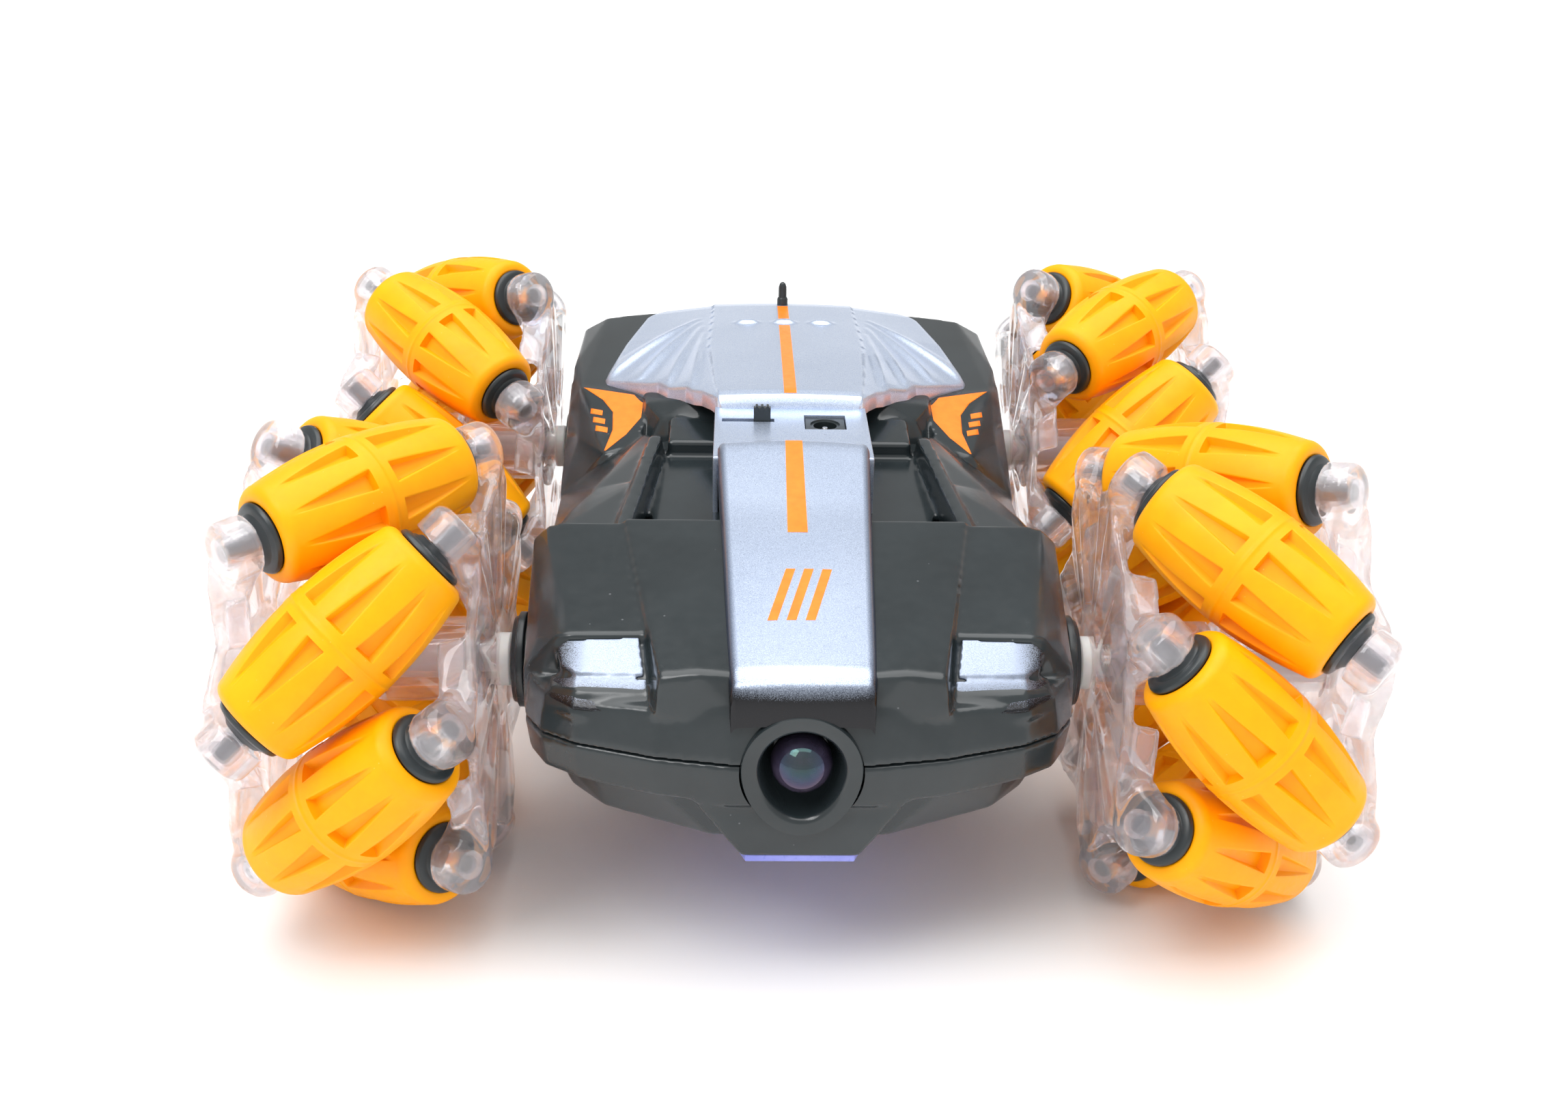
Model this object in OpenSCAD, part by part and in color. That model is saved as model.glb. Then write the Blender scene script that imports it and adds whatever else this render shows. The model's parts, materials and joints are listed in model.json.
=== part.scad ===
// Four-wheel stunt car on mecanum wheels.
// The car faces -Y, +Z is up, and the origin is on the ground under its middle.
// "left" is the driver's left, which is +X.

/* [Chassis] */
// Distance between the centre planes of the left and right wheels
track = 175; // [174:0.5:184]
// Distance between the front and rear axles
wheelbase = 128; // [126:0.5:132]
// Wall of the moulded body shells
wall = 1.6; // [1.2:0.1:2]
// Height of the joint between the upper and lower shells
seam_z = 52; // [51.5:0.5:53]
// Radius of the body shells' rounded edges
edge_r = 2.2; // [2:0.1:2.6]

/* [Wheels] */
// Radius of the circle that all the rollers of a wheel touch
wheel_r = 51.1; // [51:0.1:52]
// Rollers on each wheel
roller_count = 7; // [7:1:7]
// Largest radius of a roller
roller_r = 12.7; // [12:0.1:12.8]
// Angle between a roller's axis and the wheel's axis
roller_tilt = 45; // [44:1:46]
// Length of a roller's rubber sleeve
roller_len = 45; // [43:1:45]

/* [Switch and lamp] */
// Travel of the power switch
switch_travel = 7; // [6:0.5:7]
// Radius of the ball lens in the nose
lens_r = 6; // [5:0.5:6.5]

/* [Hidden] */
// Roller parts, measured along and around the roller's own axis
roller_path_r = wheel_r - roller_r;
pin_r = 2.9;
running_gap = 0.06;
fixed_gap = 0.05;
core_r = 4;
plug_r = 6.5;
plug_len = 6;
sleeve_bore_r = 8.4;
cap_r = 7.2;
cap_t = 1.5;
neck_r = 4.6;
neck_end = roller_len / 2 + cap_t + 1.2;
pin_end = 30.8;
cup_start = neck_end + 0.3;
cup_r = 6.2;
cup_end = 31.2;
cup_tip_r = 4.4;
cup_tip_end = 32.6;

// Hub plates, measured from the wheel's centre plane
web_in = 23.2;
web_out = 25.2;
web_peak_r = 45;
web_valley_r = 36;
hub_r = 9;
rib_r = 27;
rib_in = 18;
rib_t = 2.4;
axle_r = 4;
shoulder_r = 5.6;
window_r = 4.6;
window_at = 23;
cup_reach = 27.5;

// Drive parts, measured from the car's centre plane
bush_face = 59;
bush_r = 10;
bush_body_r = 8;
shell_half = 55.5;
gearbox_in = 33;
gearbox_out = 48;
gearbox_half_y = 12;
gearbox_half_z = 9.5;
motor_in = 7;
motor_r = 9.8;
motor_flat = 7.6;

// Deck recess that holds the switch and the charging socket
deck_z = 81.5;
deck_front = -21;
deck_back = 9.5;
panel_half = 18.4;
skirt_t = 0.9;
switch_x = -10.2;
switch_y = 1.3;
knob_half = 2;
slider_at = switch_travel / 2 - 0.2;
switch_slot_half = switch_travel / 2 + knob_half + 0.7;
jack_x = 8;
jack_y = 0.2;
jack_half = 4.8;
jack_hole_r = 2.8;

// Nose
nose_y = -109;
lens_z = 50.9;
lens_drop = 0.6;
bezel_r = 11.8;
bezel_drop = 2.4;
door_half_x = 24;
door_half_y = 33;
floor_z = 31.5;
antenna_y = 107.4;
antenna_r = 1.6;
board_top = 69.05;

// Screws up through the lower shell into bosses in the upper one
BOSSES = [[14, -88], [41, -40.5], [30.5, 19], [40, 95]];
boss_r = 3.2;
screw_r = 1.35;
screw_head_r = 2.4;
screw_seat = 37;
screw_top = 58;

// Sides of the spheres that round the shells
fine = 12;

CORNERS = [
    ["front_left", 1, -1, -16.8],
    ["front_right", -1, -1, -44.4],
    ["rear_left", 1, 1, -35.4],
    ["rear_right", -1, 1, -22.9]
];

// ---- Helpers ----

// The hull of spheres on the given points and on their mirror images
module mass(points, r) {
    hull() {
        for (p = points) {
            for (s = [-1, 1]) {
                translate([s * p[0], p[1], p[2]]) sphere(r = r, $fn = fine);
            }
        }
    }
}

// The same, on one side of the car only
module lump(points, r, side) {
    hull() {
        for (p = points) translate([side * p[0], p[1], p[2]]) sphere(r = r, $fn = fine);
    }
}

// A cylinder along X from x0 to x1
module rod_x(r, x0, x1, n = 48) {
    translate([min(x0, x1), 0, 0]) rotate([0, 90, 0]) cylinder(r = r, h = abs(x1 - x0), $fn = n);
}

module at_wheel(c) {
    translate([c[1] * track / 2, c[2] * wheelbase / 2, wheel_r]) children();
}

// Places a child whose axis is Z onto the axis of roller k, outer end up
module on_roller(c, k) {
    swing = atan2(c[2] * sin(roller_tilt), c[1] * cos(roller_tilt));
    at_wheel(c)
        rotate([c[3] + (k - 1) * 360 / roller_count, 0, 0])
            translate([0, 0, roller_path_r])
                rotate([0, 0, swing])
                    rotate([0, 90, 0])
                        children();
}

// ---- Body shells ----

FRONT_TOP = [
    [47.3, -48.7, 72.8], [52.8, -49.5, 67.5], [46, -86.5, 67.8], [52.6, -88, 60],
    [53.3, -91, 54], [53.3, -52, 54], [42.5, -99.6, 57.3], [13, -106.8, 60.5],
    [53.3, -91, 48], [53.3, -52, 48], [42.5, -99.6, 48], [13, -106.8, 48]
];
WAIST_TOP = [
    [32, -46, 66], [49.5, -46, 65], [54, -46, 54], [54, -46, 48],
    [30, 14, 66], [36.5, 14, 66], [54.4, 14, 52], [54.4, 14, 48]
];
REAR_TOP = [
    [18, 8, 74.5], [35, 30, 71], [50.8, 58, 67.8], [51.8, 103, 70.8], [36, 109.3, 72],
    [36.5, 13, 66], [54.4, 13, 52], [55.2, 52, 57], [55.6, 82, 57], [52.8, 103, 57],
    [54.4, 13, 48], [55.2, 52, 48], [55.6, 82, 48], [52.8, 103, 48], [36, 109.3, 48]
];

module upper_mass(r) {
    mass(FRONT_TOP, r);
    mass(WAIST_TOP, r);
    mass(REAR_TOP, r);
}

// The raised panels beside the spine, and the bars behind them
module fender_panels(gap) {
    for (s = [-1, 1]) {
        lump([[16, -48, 76], [35.8, -48, 76], [14.2, -103.5, 67], [26, -102.8, 66.6],
              [14.2, -103.5, 58], [26, -102.8, 58], [16, -48, 68], [35.8, -48, 68]], 1.2 + gap, s);
        lump([[36, -46, 72], [33, 6, 71], [36, -46, 64], [33, 6, 64]], 1.6 + gap, s);
    }
}

module axle_holes() {
    for (c = CORNERS) at_wheel(c) rod_x(bush_body_r + 0.1, -c[1] * 40, -c[1] * 20);
}

module boss_places() {
    for (p = BOSSES) {
        for (s = [-1, 1]) translate([s * p[0], p[1], 0]) children();
    }
}

module upper_shell() {
    color([0.05, 0.05, 0.055])
    difference() {
        union() {
            difference() {
                union() {
                    upper_mass(edge_r);
                    fender_panels(0);
                }
                upper_mass(edge_r - wall);
            }
            intersection() {
                upper_mass(edge_r - wall / 2);
                boss_places() cylinder(r = boss_r, h = 100, $fn = 32);
            }
        }
        translate([-100, -150, 0]) cube([200, 300, seam_z]);
        boss_places() cylinder(r = screw_r + fixed_gap, h = screw_top + 0.5, $fn = 32);
        axle_holes();
        lamp_slips(fixed_gap);
        translate([-16, -9, 60]) cube([32, 18, 30]);
        translate([0, nose_y - 1, lens_z]) rotate([-90, 0, 0])
            cylinder(r = bezel_r + 0.1, h = 14, $fn = 48);
    }
}

FRONT_LOW = [
    [53.3, -91, 56], [53.3, -52, 56], [42.5, -99.6, 56], [13, -106.8, 56],
    [53.3, -91, 45.5], [53.3, -52, 45.5], [42.5, -99.6, 45.5], [13, -106.8, 45.5]
];
FRONT_TUB = [
    [49, -89, 45], [49, -52, 45], [41, -98, 45], [14, -104.8, 45],
    [46, -84, 33.7], [46, -52, 33.7], [39, -95, 36], [14, -101, 36]
];
WAIST_LOW = [
    [54, -50, 56], [54.4, 12, 56], [54, -50, 45.5], [54.4, 12, 45.5], [46, -50, 33.7],
    [46, 12, 33.7]
];
REAR_LOW = [
    [54.4, 11, 56], [55.2, 52, 56], [55.6, 82, 56], [52.8, 103, 56], [36, 109.3, 56],
    [54.4, 11, 45.5], [55.2, 52, 45.5], [55.6, 82, 45.5], [52.8, 103, 45.5], [36, 109.3, 45.5],
    [46, 12, 33.7], [49, 52, 33.7], [49, 84, 33.7], [34, 103, 36]
];

module lower_mass(r) {
    mass(FRONT_LOW, r);
    mass(FRONT_TUB, r);
    mass(WAIST_LOW, r);
    mass(REAR_LOW, r);
}

CHIN = [[14, -105.3, 46], [9.6, -105.8, 33.6], [14, -90, 40], [9.6, -90, 33.6]];

module battery_opening(gap) {
    translate([-door_half_x - gap, -door_half_y - gap, floor_z - 1])
        cube([2 * door_half_x + 2 * gap, 2 * door_half_y + 2 * gap, 6]);
}

module lower_shell() {
    color([0.06, 0.06, 0.065])
    difference() {
        union() {
            difference() {
                union() {
                    lower_mass(edge_r);
                    mass(CHIN, edge_r);
                }
                lower_mass(edge_r - wall);
            }
            boss_places() translate([0, 0, floor_z + 1]) cylinder(r = boss_r, h = 19, $fn = 32);
        }
        boss_places() cylinder(r = screw_r + fixed_gap, h = 100, $fn = 32);
        boss_places() cylinder(r = screw_head_r + 0.2, h = screw_seat, $fn = 32);
        translate([-100, -150, seam_z - 0.05]) cube([200, 300, 40]);
        axle_holes();
        battery_opening(0.2);
        translate([0, nose_y - 1, lens_z]) rotate([-90, 0, 0])
            cylinder(r = bezel_r + 0.1, h = 14, $fn = 48);
        translate([0, nose_y - 1, lens_z - bezel_drop]) rotate([-90, 0, 0])
            cylinder(r = bezel_r - 1.5, h = 14, $fn = 48);
    }
}

// ---- Metallic cover ----

SPINE = [
    [10.4, -105, 64.5], [10.6, -101, 67.4], [12.9, -50, 77.6], [13.8, -23, 83.1],
    [10.4, -105, 62.5], [13.8, -23, 76]
];
DECK = [
    [16.8, deck_back + 2, 82.5], [21, 28, 81], [45.3, 53, 72.3], [36.8, 106, 76.2],
    [18, 109.8, 77.6], [16.8, deck_back + 2, 77], [45.3, 53, 71.6], [36.8, 106, 73]
];

// The flat floor of the deck recess, with a skirt down to the shell on each side
module recess_panel() {
    length = deck_back - deck_front + 2;
    translate([-panel_half, deck_front - 1, deck_z - wall]) cube([2 * panel_half, length, wall]);
    for (s = [-1, 1]) {
        translate([s * (panel_half - skirt_t / 2) - skirt_t / 2, deck_front - 1, 60])
            cube([skirt_t, length, deck_z - 60 - 0.1]);
    }
}

module spine_cover() {
    color([0.66, 0.70, 0.84])
    difference() {
        union() {
            difference() {
                union() {
                    mass(SPINE, 2);
                    mass(DECK, 2);
                }
                translate([0, 0, -wall]) mass(SPINE, 2 - wall / 2);
                translate([0, 0, -wall]) mass(DECK, 2 - wall / 2);
                translate([-18, deck_front, deck_z]) cube([36, deck_back - deck_front, 10]);
            }
            recess_panel();
        }
        upper_mass(edge_r + fixed_gap);
        translate([switch_x - switch_slot_half, switch_y - 1.1, 70])
            cube([2 * switch_slot_half, 2.2, 20]);
        translate([jack_x - jack_half - 0.1, jack_y - jack_half - 0.1, 70])
            cube([2 * jack_half + 0.2, 2 * jack_half + 0.2, 20]);
        translate([0, antenna_y, 60]) cylinder(r = antenna_r + fixed_gap, h = 40, $fn = 32);
        fender_panels(fixed_gap);
    }
}

// Two metallic slips let into the fenders above the nose
module lamp_slips(gap) {
    for (s = [-1, 1]) {
        lump([[29.6, -90, 68.6], [45, -89, 68], [29.6, -95.8, 64.1], [42.2, -94.8, 63.5]],
             0.8 + gap, s);
    }
}

module lamp_trims() {
    color([0.66, 0.70, 0.84])
    lamp_slips(0);
}

module chin_plate() {
    color([0.60, 0.62, 0.86])
    difference() {
        mass([[13, -100, 31.2], [9.6, -107.2, 31.2], [20, -80, 31.2], [20, -42, 31.2]], 1);
        lower_mass(edge_r + fixed_gap);
        mass(CHIN, edge_r + fixed_gap);
        boss_places() cylinder(r = screw_head_r + 0.2, h = 60, $fn = 32);
    }
}

// ---- Nose lamp ----

module bezel_outline(r) {
    cylinder(r = r, h = 8, $fn = 64);
    translate([0, -bezel_drop, 0]) cylinder(r = r - 1.6, h = 8, $fn = 64);
}

module lens_bezel() {
    color([0.04, 0.04, 0.045])
    translate([0, nose_y - 0.4, lens_z])
    rotate([90, 0, 0])
    mirror([0, 0, 1])
    difference() {
        bezel_outline(bezel_r);
        translate([0, 0, -1]) cylinder(r = bezel_r - 3.6, h = 20, $fn = 64);
    }
}

module headlamp_lens() {
    color([0.75, 0.8, 0.85, 0.5])
    translate([0, nose_y + 5, lens_z])
    union() {
        translate([0, 0, -lens_drop]) sphere(r = lens_r, $fn = 64);
        rotate([-90, 0, 0]) cylinder(r = bezel_r - 3.65, h = 2, $fn = 64);
    }
}

module headlamp_led() {
    color([0.12, 0.35, 0.16])
    translate([0, nose_y + 13, lens_z - lens_drop]) {
        translate([-9, 0, -9]) cube([18, 1.6, 18]);
        rotate([90, 0, 0]) cylinder(r = 2.5, h = 1, $fn = 32);
    }
}

// ---- Switch, charging socket and antenna ----

module switch_housing() {
    color([0.55, 0.56, 0.58])
    difference() {
        union() {
            translate([switch_x - 7, switch_y - 3.4, deck_z - wall - 7.1]) cube([14, 6.8, 7]);
            for (i = [-1, 0, 1]) {
                translate([switch_x + 4 * i - 0.5, switch_y - 0.4, board_top + fixed_gap])
                    cube([1, 0.8, deck_z - wall - 7 - board_top]);
            }
        }
        translate([switch_x - 6.3, switch_y - 2.1, deck_z - wall - 5]) cube([12.6, 4.2, 6]);
    }
}

module switch_slider() {
    color([0.03, 0.03, 0.03])
    translate([switch_x + slider_at, switch_y, 0]) {
        translate([-knob_half, -0.9, deck_z - wall - 2]) cube([2 * knob_half, 1.8, wall + 5.4]);
        translate([-2.2, -1.7, deck_z - wall - 4.8]) cube([4.4, 3.4, 3]);
        for (i = [-1, 0, 1]) {
            translate([i * 1.3 - 0.3, -0.9, deck_z + 3.3]) cube([0.6, 1.8, 0.5]);
        }
    }
}

module charging_socket() {
    color([0.03, 0.03, 0.035])
    difference() {
        translate([jack_x - jack_half, jack_y - jack_half, deck_z - 12.4])
            cube([2 * jack_half, 2 * jack_half, 12]);
        translate([jack_x, jack_y, deck_z - 9.4]) cylinder(r = jack_hole_r, h = 20, $fn = 48);
    }
}

module antenna() {
    color([0.03, 0.03, 0.03])
    translate([0, antenna_y, 75]) {
        cylinder(r = antenna_r, h = 6.6, $fn = 32);
        translate([0, 0, 6.5]) cylinder(r = 1.15, h = 3.4, $fn = 32);
        translate([0, 0, 9.9]) sphere(r = 1.15, $fn = 32);
    }
}

// ---- Parts inside the body ----

module main_board() {
    color([0.05, 0.35, 0.2]) {
        translate([-22, -34, 59]) cube([44, 66, 1.6]);
        translate([-14, 8, 60.5]) cube([10, 10, 1.4]);
        translate([2, 12, 60.5]) cube([9, 6, 1.4]);
    }
}

// The small board that the switch and the charging socket stand on
module switch_board() {
    color([0.05, 0.35, 0.2])
    translate([-15.4, -7.5, board_top - 1.6]) cube([30, 15, 1.6]);
}

module battery_pack() {
    color([0.2, 0.35, 0.75])
    union() {
        for (s = [-1, 1]) {
            translate([s * 9.3, -30, 45]) rotate([-90, 0, 0]) cylinder(r = 9.2, h = 60, $fn = 64);
        }
        translate([-9, -30, 36.5]) cube([18, 60, 17]);
    }
}

module battery_door() {
    color([0.07, 0.07, 0.075])
    translate([-door_half_x, -door_half_y, floor_z])
        cube([2 * door_half_x, 2 * door_half_y, 1.8]);
}

module shell_screws() {
    color([0.62, 0.63, 0.65])
    boss_places() {
        translate([0, 0, screw_seat - 1.65]) cylinder(r = screw_head_r, h = 1.6, $fn = 32);
        translate([0, 0, screw_seat - 0.1])
            cylinder(r = screw_r, h = screw_top - screw_seat + 0.1, $fn = 32);
    }
}

module gearboxes() {
    color([0.86, 0.86, 0.82])
    for (c = CORNERS) {
        at_wheel(c)
            translate([-c[1] * track / 2, 0, 0])
                difference() {
                    translate([c[1] * (gearbox_in + gearbox_out) / 2, 0, 0])
                        cube([gearbox_out - gearbox_in, 2 * gearbox_half_y, 2 * gearbox_half_z],
                             center = true);
                    rod_x(axle_r + running_gap, c[1] * (gearbox_in - 1), c[1] * (gearbox_out + 1));
                }
    }
}

module drive_motors() {
    color([0.70, 0.71, 0.73])
    for (c = CORNERS) {
        at_wheel(c)
            translate([-c[1] * track / 2, 0, 0]) {
                intersection() {
                    rod_x(motor_r, c[1] * motor_in, c[1] * (gearbox_in - 1.2));
                    translate([c[1] * 20, 0, 0]) cube([60, 40, 2 * motor_flat], center = true);
                }
            }
    }
}

module axle_bushes() {
    color([0.04, 0.04, 0.045])
    for (c = CORNERS) {
        at_wheel(c)
            translate([-c[1] * track / 2, 0, 0])
                difference() {
                    union() {
                        rod_x(bush_body_r, c[1] * (gearbox_out + 0.1), c[1] * bush_face);
                        rod_x(bush_r, c[1] * (shell_half + 2.6), c[1] * bush_face);
                    }
                    rod_x(axle_r + running_gap, c[1] * 45, c[1] * 65);
                }
    }
}

// ---- Wheels ----

// One clear hub plate: side is 1 for the outer plate and -1 for the inner one
module hub_plate(c, side) {
    out = c[1] * side;
    step = 360 / roller_count;
    reach = atan(cup_reach * sin(roller_tilt) / roller_path_r);
    cup_turn = c[3] + side * reach * -c[2];
    color([0.93, 0.92, 0.97, 0.45])
    difference() {
        union() {
            at_wheel(c) {
                rotate([cup_turn, 0, 0]) {
                    translate([out > 0 ? web_in : -web_out, 0, 0])
                        rotate([90, 0, 90])
                            linear_extrude(height = web_out - web_in)
                                polygon([for (k = [0:2 * roller_count - 1])
                                    let (r = k % 2 == 0 ? web_peak_r : web_valley_r)
                                    let (a = 90 + k * step / 2)
                                    [r * cos(a), r * sin(a)]]);
                    for (k = [0:roller_count - 1]) {
                        rotate([k * step, 0, 0])
                            translate([out > 0 ? rib_in : -web_in - 0.2, -rib_t / 2, hub_r - 1])
                                cube([web_in - rib_in + 0.2, rib_t, rib_r - hub_r + 1]);
                    }
                }
                rod_x(hub_r, out * 0.1, out * web_out);
            }
            for (k = [1:roller_count]) {
                on_roller(c, k) mirror([0, 0, side > 0 ? 0 : 1]) {
                    translate([0, 0, cup_start])
                        cylinder(r = cup_r, h = cup_end - cup_start, $fn = 48);
                    translate([0, 0, cup_end - 0.1])
                        cylinder(r = cup_tip_r, h = cup_tip_end - cup_end + 0.1, $fn = 48);
                }
            }
        }
        at_wheel(c) {
            rod_x(axle_r + fixed_gap, -30, 30);
            rotate([cup_turn + step / 2, 0, 0]) {
                for (k = [0:roller_count - 1]) {
                    rotate([k * step, 0, 0]) translate([0, 0, window_at])
                        rod_x(window_r, out * (web_in - 1), out * (web_out + 1), 32);
                }
            }
        }
        for (k = [1:roller_count]) {
            on_roller(c, k) mirror([0, 0, side > 0 ? 0 : 1])
                translate([0, 0, cup_start - 1])
                    cylinder(r = pin_r + running_gap, h = pin_end + 0.3 - cup_start + 1, $fn = 48);
        }
    }
}

module wheel_axle(c) {
    inner_face = track / 2 - web_out;
    color([0.94, 0.94, 0.93])
    at_wheel(c)
        translate([-c[1] * track / 2, 0, 0])
            union() {
                rod_x(axle_r, c[1] * (gearbox_in + 0.5), c[1] * (track / 2 + web_out - 0.2));
                rod_x(shoulder_r, c[1] * (bush_face + 0.4), c[1] * (inner_face - fixed_gap));
                rod_x(shoulder_r, c[1] * (track / 2 + web_out + fixed_gap),
                      c[1] * (track / 2 + web_out + 1.2));
                rod_x(axle_r, c[1] * (track / 2 + web_out - 0.3),
                      c[1] * (track / 2 + web_out + 0.2));
            }
}

// Radius of a roller at distance s from its middle, so that it follows the wheel's circle
function barrel_r(s) = wheel_r - sqrt(pow(roller_path_r, 2) + pow(s * sin(roller_tilt), 2));

// One roller: a rubber sleeve on a moulded core with a cap and a pin at each end
module roller(c, k) {
    half = roller_len / 2;
    shoulder = half - 2.4;
    steps = [for (i = [0:6]) i * shoulder / 6];
    curve = concat(
        [for (s = steps) [barrel_r(s), s]],
        [[barrel_r(shoulder) - 0.7, shoulder + 1.5], [barrel_r(shoulder) - 2.2, half]]
    );
    color([1, 0.62, 0.05])
    on_roller(c, k)
        rotate_extrude($fn = 48)
            polygon(concat(
                [
                    [plug_r + fixed_gap, half], [plug_r + fixed_gap, half - plug_len],
                    [sleeve_bore_r, half - plug_len - 1], [sleeve_bore_r, -half + plug_len + 1],
                    [plug_r + fixed_gap, -half + plug_len], [plug_r + fixed_gap, -half]
                ],
                [for (i = [len(curve) - 1:-1:1]) [curve[i][0], -curve[i][1]]],
                curve
            ));
    color([0.04, 0.04, 0.04])
    on_roller(c, k)
        rotate_extrude($fn = 48)
            polygon([
                [0, -pin_end], [pin_r, -pin_end], [pin_r, -neck_end], [neck_r, -neck_end],
                [neck_r, -half - cap_t], [cap_r, -half - cap_t], [cap_r, -half - fixed_gap],
                [plug_r, -half - fixed_gap], [plug_r, -half + plug_len], [core_r, -half + plug_len],
                [core_r, half - plug_len], [plug_r, half - plug_len], [plug_r, half + fixed_gap],
                [cap_r, half + fixed_gap], [cap_r, half + cap_t], [neck_r, half + cap_t],
                [neck_r, neck_end], [pin_r, neck_end], [pin_r, pin_end], [0, pin_end]
            ]);
}

// ---- Assembly ----

upper_shell();
lower_shell();
spine_cover();
lamp_trims();
chin_plate();
lens_bezel();
headlamp_lens();
headlamp_led();
switch_housing();
switch_slider();
charging_socket();
antenna();
main_board();
battery_pack();
battery_door();
shell_screws();
gearboxes();
drive_motors();
axle_bushes();
switch_board();
for (c = CORNERS) {
    hub_plate(c, 1);
    hub_plate(c, -1);
    wheel_axle(c);
    for (k = [1:roller_count]) {
        roller(c, k);
    }
}
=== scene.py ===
import json
import math

import bmesh
import bpy
import numpy as np
from mathutils import Matrix, Vector
from mathutils.bvhtree import BVHTree

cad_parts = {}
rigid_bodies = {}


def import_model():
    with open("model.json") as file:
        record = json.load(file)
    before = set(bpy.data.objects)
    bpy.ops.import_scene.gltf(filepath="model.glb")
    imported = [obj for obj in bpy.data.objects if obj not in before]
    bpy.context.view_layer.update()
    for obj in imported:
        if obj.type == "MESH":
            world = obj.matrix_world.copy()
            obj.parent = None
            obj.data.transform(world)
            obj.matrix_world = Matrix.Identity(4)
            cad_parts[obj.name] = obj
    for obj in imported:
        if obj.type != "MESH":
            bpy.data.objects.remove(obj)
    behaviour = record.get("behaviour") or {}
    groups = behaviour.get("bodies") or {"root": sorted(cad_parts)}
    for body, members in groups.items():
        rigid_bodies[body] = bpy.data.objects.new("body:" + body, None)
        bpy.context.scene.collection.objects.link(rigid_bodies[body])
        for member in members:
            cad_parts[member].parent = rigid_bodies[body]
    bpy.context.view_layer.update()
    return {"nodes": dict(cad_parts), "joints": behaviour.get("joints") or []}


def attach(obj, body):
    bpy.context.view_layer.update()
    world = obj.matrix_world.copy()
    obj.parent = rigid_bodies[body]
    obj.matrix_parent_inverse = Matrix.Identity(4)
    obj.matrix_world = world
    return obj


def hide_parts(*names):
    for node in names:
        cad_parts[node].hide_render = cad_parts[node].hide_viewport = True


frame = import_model()

MM = 0.001
JOINTS = {j["child"]: j for j in frame["joints"]}
CORNERS = ("front_left", "front_right", "rear_left", "rear_right")
ROLLERS = 7
STEP = 2 * math.pi / ROLLERS

# Sizes in millimetres
WHEEL_R = 51.1            # wheel radius, which is also the height of the axles
ROLLER_R = 12.7           # roller radius at its middle
HALF = 22.5               # half the length of a roller's rubber sleeve
PATH_R = WHEEL_R - ROLLER_R
AXLE_Y = 64               # half the wheelbase
LAMP_Z = 51.0             # height of the nose lamp
DECK_FRONT, DECK_BACK = 9.5, 111.5


# ---------------- materials

class Shader:
    """A Principled material whose inputs can be driven by procedural textures in object space."""

    def __init__(self, name, **values):
        self.mat = bpy.data.materials.new(name)
        self.mat.use_nodes = True
        self.tree = self.mat.node_tree
        self.bsdf = self.tree.nodes["Principled BSDF"]
        self.coords = self.tree.nodes.new("ShaderNodeTexCoord")
        for key, value in values.items():
            self.bsdf.inputs[key.replace("_", " ")].default_value = value

    def node(self, kind, **props):
        n = self.tree.nodes.new(kind)
        for key, value in props.items():
            setattr(n, key, value)
        return n

    def link(self, a, b):
        self.tree.links.new(a, b)

    def noise(self, per_mm, detail=3.0, rough=0.5):
        n = self.node("ShaderNodeTexNoise")
        n.inputs["Scale"].default_value = per_mm / MM
        n.inputs["Detail"].default_value = detail
        n.inputs["Roughness"].default_value = rough
        self.link(self.coords.outputs["Object"], n.inputs["Vector"])
        return n.outputs["Fac"]

    def cells(self, per_mm):
        n = self.node("ShaderNodeTexVoronoi")
        n.inputs["Scale"].default_value = per_mm / MM
        self.link(self.coords.outputs["Object"], n.inputs["Vector"])
        return n.outputs["Distance"]

    def axis(self, which):
        n = self.node("ShaderNodeSeparateXYZ")
        self.link(self.coords.outputs["Object"], n.inputs[0])
        return n.outputs["XYZ".index(which)]

    def math(self, op, a, b):
        n = self.node("ShaderNodeMath", operation=op)
        for socket, v in zip(n.inputs, (a, b)):
            if hasattr(v, "is_linked"):
                self.link(v, socket)
            else:
                socket.default_value = v
        return n.outputs[0]

    def remap(self, value, lo, hi, to_lo=0.0, to_hi=1.0):
        n = self.node("ShaderNodeMapRange", clamp=True)
        self.link(value, n.inputs["Value"])
        for key, v in (("From Min", lo), ("From Max", hi), ("To Min", to_lo), ("To Max", to_hi)):
            n.inputs[key].default_value = v
        return n.outputs[0]

    def ramp(self, value, stops):
        n = self.node("ShaderNodeValToRGB")
        self.link(value, n.inputs["Fac"])
        ramp = n.color_ramp
        while len(ramp.elements) < len(stops):
            ramp.elements.new(0.5)
        for e, (at, colour) in zip(ramp.elements, stops):
            e.position = at
            e.color = (*colour, 1)
        return n.outputs["Color"]

    def mix(self, factor, a, b):
        n = self.node("ShaderNodeMix", data_type="RGBA")
        if hasattr(factor, "is_linked"):
            self.link(factor, n.inputs[0])
        else:
            n.inputs[0].default_value = factor
        for socket, v in ((n.inputs[6], a), (n.inputs[7], b)):
            if hasattr(v, "is_linked"):
                self.link(v, socket)
            else:
                socket.default_value = (*v, 1)
        return n.outputs[2]

    def colour(self, value):
        self.link(value, self.bsdf.inputs["Base Color"])

    def rough(self, value):
        self.link(value, self.bsdf.inputs["Roughness"])

    def bump(self, height, mm, strength=1.0):
        n = self.node("ShaderNodeBump")
        n.inputs["Distance"].default_value = mm * MM
        n.inputs["Strength"].default_value = strength
        self.link(height, n.inputs["Height"])
        self.link(n.outputs["Normal"], self.bsdf.inputs["Normal"])


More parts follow.
